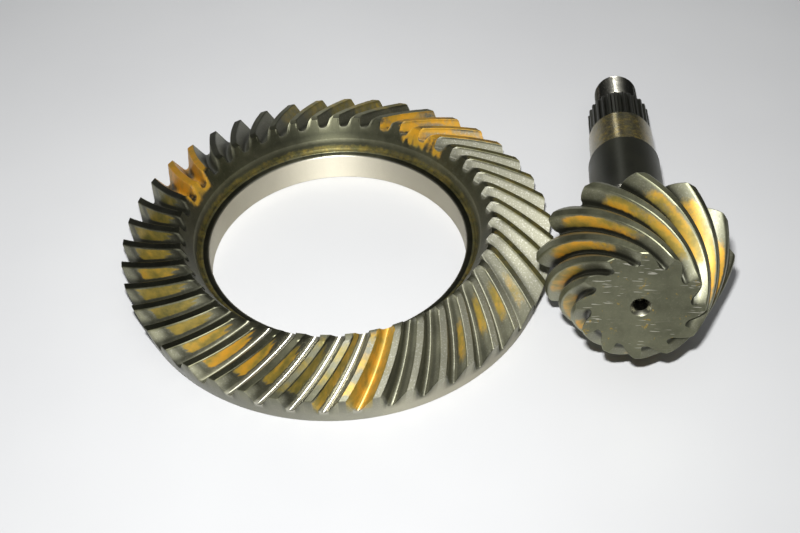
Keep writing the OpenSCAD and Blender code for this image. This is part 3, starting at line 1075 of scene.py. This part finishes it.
def steel_roughness(n, marks, cloud):
    """Roughness of the steel: clouds and specks, smoother where it was ground."""
    rough = n.range(cloud, 0.3, 0.7, 0.42, 0.54)
    rough = n.math("ADD", rough, n.range(n.noise(2600.0, 2.0, 0.5), 0.4, 0.7, -0.04, 0.06))
    rough = n.math("ADD", rough, n.math("MULTIPLY", marks["cut"], 0.12))
    rough = n.math("SUBTRACT", rough, n.math("MULTIPLY", marks["ground"], 0.26))
    return n.math("ADD", rough, n.math("MULTIPLY", marks["hone"], 0.42))


def fine_relief(n, marks, grain, cover):
    """Bumps of the turned lines, and over them the grain of the steel and the body of the compound."""
    lines = n.math("MULTIPLY", n.lines(marks["along"], 2.4), n.math("ADD", marks["ground"], 0.12))
    turned = n.add("ShaderNodeBump", Strength=0.35, Distance=0.00006)
    n.link(lines, turned.inputs["Height"])
    body = n.math("ADD", grain, n.math("MULTIPLY", cover, n.noise(600.0)))
    grained = n.add("ShaderNodeBump", Strength=0.3, Distance=0.00005)
    n.link(body, grained.inputs["Height"])
    n.link(turned.outputs["Normal"], grained.inputs["Normal"])
    return grained.outputs["Normal"]


def turned_shine(n):
    """Stretches the highlights as lines turned about the Z axis do."""
    n.bsdf.inputs["Anisotropic"].default_value = 0.75
    n.bsdf.inputs["Anisotropic Rotation"].default_value = 0.25
    tangent = n.tree.nodes.new("ShaderNodeTangent")
    tangent.direction_type = "RADIAL"
    tangent.axis = "Z"
    n.link(tangent.outputs["Tangent"], n.bsdf.inputs["Tangent"])


def oiled_steel(name, colours):
    """Hardened gear steel under a film of oil, with marking compound and ground places, and painted light and
    shade.
    """
    n = Nodes(name)
    marks = {value: n.read(value) for value in POINT_VALUES}
    cloud = n.noise(48.0, 5.0, 0.65)
    grain = n.noise(900.0, 3.0, 0.7)
    cover = compound_cover(n, marks)
    base = bare_steel(n, marks, cloud, grain, colours)
    base = n.over(base, compound_colour(n, marks), cover, 0.92)
    n.link(scuffed(n, marks, base), n.bsdf.inputs["Base Color"])
    metal = n.math("SUBTRACT", 1.0, n.math("MULTIPLY", marks["cut"], 0.48))
    metal = n.math("SUBTRACT", metal, n.math("MULTIPLY", cover, 0.45))
    n.link(metal, n.bsdf.inputs["Metallic"])
    n.link(steel_roughness(n, marks, cloud), n.bsdf.inputs["Roughness"])
    n.link(fine_relief(n, marks, grain, cover), n.bsdf.inputs["Normal"])
    n.bsdf.inputs["Coat Weight"].default_value = 0.15
    n.bsdf.inputs["Coat Roughness"].default_value = 0.32
    return n


def ring_material():
    """The ring lies on the Z axis about which it was turned, so its highlights stretch."""
    n = oiled_steel("ring_oiled_steel", RING_STEEL)
    turned_shine(n)
    return n.material


def pinion_material():
    return oiled_steel("pinion_oiled_steel", PINION_STEEL).material


def floor_material():
    """A matt white table, slightly uneven in colour."""
    n = Nodes("white_table")
    cloud = n.noise(9.0, 3.0, 0.5)
    n.link(n.mix(n.range(cloud, 0.3, 0.7), *WHITE_TABLE), n.bsdf.inputs["Base Color"])
    n.bsdf.inputs["Roughness"].default_value = 0.55
    return n.material


# ---------------------------------------------------------------- stage

TABLE_HALF = 4.0


def make_floor():
    corners = [(-1, -1, 0), (1, -1, 0), (1, 1, 0), (-1, 1, 0)]
    mesh = bpy.data.meshes.new("table_top")
    mesh.from_pydata([(x * TABLE_HALF, y * TABLE_HALF, z) for x, y, z in corners], [], [(0, 1, 2, 3)])
    floor = bpy.data.objects.new("table_top", mesh)
    bpy.context.scene.collection.objects.link(floor)
    floor.data.materials.append(floor_material())


def make_camera():
    """The photograph's angle: above and in front, looking down at about 45 degrees."""
    at = Vector((0.0, -0.5057, 0.5069))
    target = Vector((0.02924, -0.0068, 0.0))
    roll = math.radians(-2.64)
    forward = (target - at).normalized()
    right = forward.cross(Vector((0, 0, 1))).normalized()
    up = right.cross(forward)
    right, up = math.cos(roll) * right + math.sin(roll) * up, math.cos(roll) * up - math.sin(roll) * right
    data = bpy.data.cameras.new("camera")
    data.sensor_fit = "HORIZONTAL"
    data.sensor_width = 36.0
    data.lens = 65.25
    data.clip_start = 0.02
    data.clip_end = 20
    camera = bpy.data.objects.new("camera", data)
    bpy.context.scene.collection.objects.link(camera)
    turn = Matrix((right, up, -forward)).transposed().to_4x4()
    camera.matrix_world = Matrix.Translation(at) @ turn
    bpy.context.scene.camera = camera


def area_light(name, at, target, size, power, colour=(1, 1, 1), spread=180):
    """A rectangular light at a place, aimed at a target, in metres, watts and degrees."""
    data = bpy.data.lights.new(name, "AREA")
    data.shape = "RECTANGLE"
    data.size, data.size_y = size
    data.energy = power
    data.color = colour
    data.spread = math.radians(spread)
    light = bpy.data.objects.new(name, data)
    bpy.context.scene.collection.objects.link(light)
    light.location = at
    aim = Vector(target) - Vector(at)
    light.rotation_euler = aim.to_track_quat("-Z", "Y").to_euler()


def make_lights():
    """A flash above the camera, a ceiling light, a bright wall at the back right, and a narrow window."""
    world = bpy.data.worlds.new("studio")
    bpy.context.scene.world = world
    world.use_nodes = True
    back = world.node_tree.nodes["Background"]
    back.inputs["Color"].default_value = (0.92, 0.96, 1.0, 1)
    back.inputs["Strength"].default_value = 0.07
    area_light("ceiling", (0.3, -0.2, 1.55), (0.1, -0.05, 0), (1.5, 1.5), 2.7)
    area_light("back_wall", (1.15, 1.6, 0.75), (0.05, 0, 0.05), (1.4, 0.7), 0.5, (1, 0.97, 0.9))
    area_light("window", (0.1, 2.0, 0.7), (0.1, 0, 0.02), (0.16, 0.7), 1.3)
    area_light("flash", (-0.012, -0.445, 0.575), (-0.03, 0.3, 0), (0.034, 0.02), 4.05, spread=120)
    bpy.context.scene.view_settings.view_transform = "Standard"


def main():
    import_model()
    ring = make_ring()
    ring.data.materials.append(ring_material())
    pinion = make_pinion()
    pinion.data.materials.append(pinion_material())
    for piece, node in ((ring, "ring_gear"), (pinion, "pinion")):
        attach(piece, node)
        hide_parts(node)
    make_floor()
    make_lights()
    make_camera()


main()
